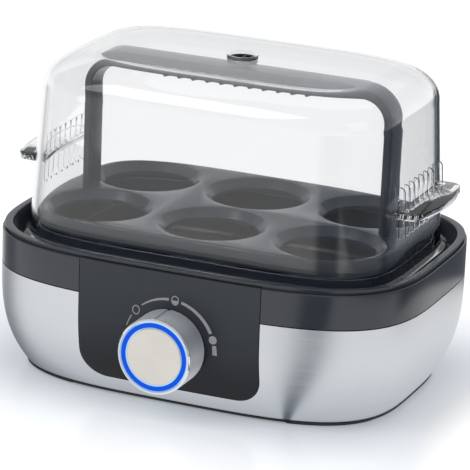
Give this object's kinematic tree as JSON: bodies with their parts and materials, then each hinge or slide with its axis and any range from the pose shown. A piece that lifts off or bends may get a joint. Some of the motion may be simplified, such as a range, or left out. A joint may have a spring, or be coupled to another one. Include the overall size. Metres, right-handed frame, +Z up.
{
  "type": "egg cooker",
  "caption": "Countertop steam egg cooker with a clear lift-off lid, a lift-out egg tray with arched handle, a brushed steel body and a lit control knob.",
  "frame": {"origin": "on the table, in the middle of the footprint", "axes": "+Z up, front panel and knob towards -Y, +X to the right seen from the front"},
  "size_m": [0.1828, 0.1486, 0.1326],
  "materials": {
    "brushed_steel": "brushed along the wall",
    "anthracite": "satin moulded plastic",
    "dark_panel": "satin moulded plastic",
    "black_plastic": "fine grain",
    "black_rubber": "matt",
    "clear_plastic": "clear, polished",
    "tray_plastic": "satin gloss",
    "coated_steel": "non-stick coating",
    "silicone": "matt silicone",
    "aluminium": "pressed sheet",
    "heater_steel": "heat-tinted steel tube",
    "zinc_steel": "zinc plated",
    "ceramic": "unglazed",
    "board_green": "solder mask",
    "knob_metal": "spun and brushed",
    "chrome": "polished",
    "blue_light": "lit light guide",
    "wire_brown": "wire insulation",
    "wire_blue": "wire insulation"
  },
  "bodies": {
    "base": {"steel_shell": "brushed_steel", "rim_ring": "anthracite", "front_panel": "dark_panel", "base_plate": "black_plastic", "front_left_foot": "black_rubber", "front_right_foot": "black_rubber", "rear_left_foot": "black_rubber", "rear_right_foot": "black_rubber", "base_screw_1": "zinc_steel", "base_screw_2": "zinc_steel", "base_screw_3": "zinc_steel", "base_screw_4": "zinc_steel", "heating_dish": "coated_steel", "dish_seal": "silicone", "heater_plate": "aluminium", "heating_element": "heater_steel", "dish_stud": "zinc_steel", "dish_nut": "zinc_steel", "retaining_strap": "zinc_steel", "thermostat": "ceramic", "thermal_fuse": "ceramic", "fuse_clip": "zinc_steel", "circuit_board": "board_green", "board_screw_left": "zinc_steel", "board_screw_right": "zinc_steel", "rotary_encoder": "black_plastic", "light_guide": "clear_plastic", "relay": "black_plastic", "buzzer": "black_plastic", "mains_gland": "black_plastic", "terminal_block": "ceramic", "mains_lead_live": "wire_brown", "mains_lead_neutral": "wire_blue", "heater_lead_live": "wire_brown", "heater_lead_neutral": "wire_blue"},
    "lid": {"lid": "clear_plastic", "vent_insert": "black_plastic"},
    "tray": {"egg_tray": "tray_plastic", "tray_handle": "tray_plastic"},
    "knob": {"knob_sleeve": "knob_metal", "knob_bezel": "chrome", "knob_light_ring": "blue_light", "knob_face": "knob_metal", "knob_hub": "black_plastic", "knob_shaft": "zinc_steel"}
  },
  "joints": [
    {"name": "lid_lift", "type": "slide", "parent": "base", "child": "lid", "axis": [0, 0, 1], "range_m": [0, 0.15]},
    {"name": "tray_lift", "type": "slide", "parent": "base", "child": "tray", "axis": [0, 0, 1], "range_m": [0, 0.07]},
    {"name": "knob_turn", "type": "hinge", "parent": "base", "child": "knob", "pos_m": [0.0012, -0.0667, 0.0286], "axis": [0, -1, 0], "range_deg": [-96, 73]}
  ],
  "couplings": [
    {"joint": "tray_lift", "follows": "lid_lift", "ratio": 0.45}
  ]
}
